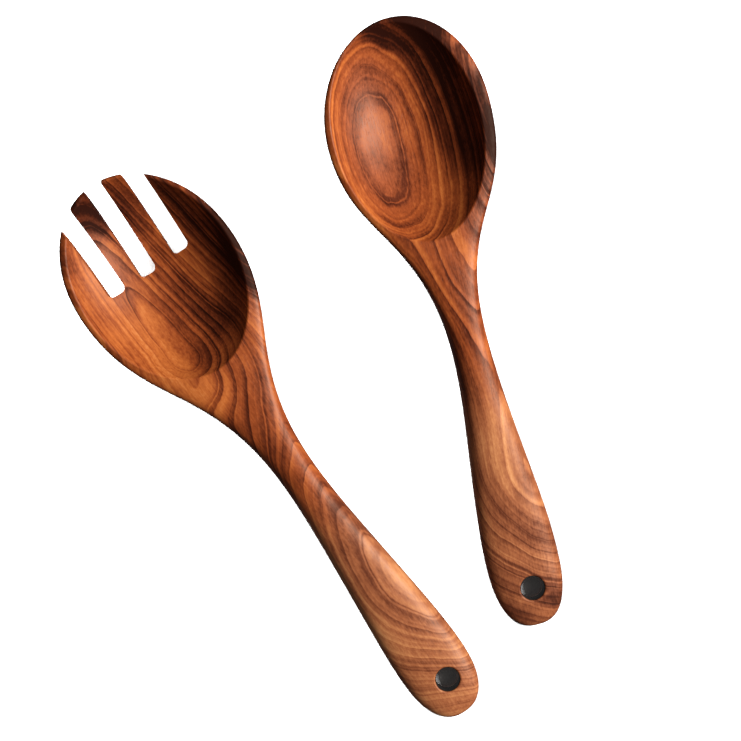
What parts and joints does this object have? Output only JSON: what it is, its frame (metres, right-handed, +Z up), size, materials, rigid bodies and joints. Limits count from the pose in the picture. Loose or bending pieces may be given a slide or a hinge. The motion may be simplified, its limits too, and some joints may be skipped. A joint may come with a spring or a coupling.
{
  "type": "salad servers",
  "caption": "Carved wooden salad spoon and slotted serving fork lying side by side, each with a deep oval bowl, a slim neck and a drilled hanging hole.",
  "frame": {"origin": "middle of the ground under both servers, at their lowest point", "axes": "+Y along the fork from its handle end to its tines, +Z up out of the bowls, +X to the spoon's side"},
  "size_m": [0.1922, 0.2658, 0.0262],
  "materials": {
    "spoon_wood": "oiled satin",
    "fork_wood": "oiled satin"
  },
  "bodies": {
    "fork": {"salad_fork": "fork_wood"},
    "spoon": {"salad_spoon": "spoon_wood"}
  },
  "joints": [
    {"name": "spoon_lift", "type": "slide", "parent": "fork", "child": "spoon", "axis": [0, 0, 1], "range_m": [0, 0.1]}
  ]
}
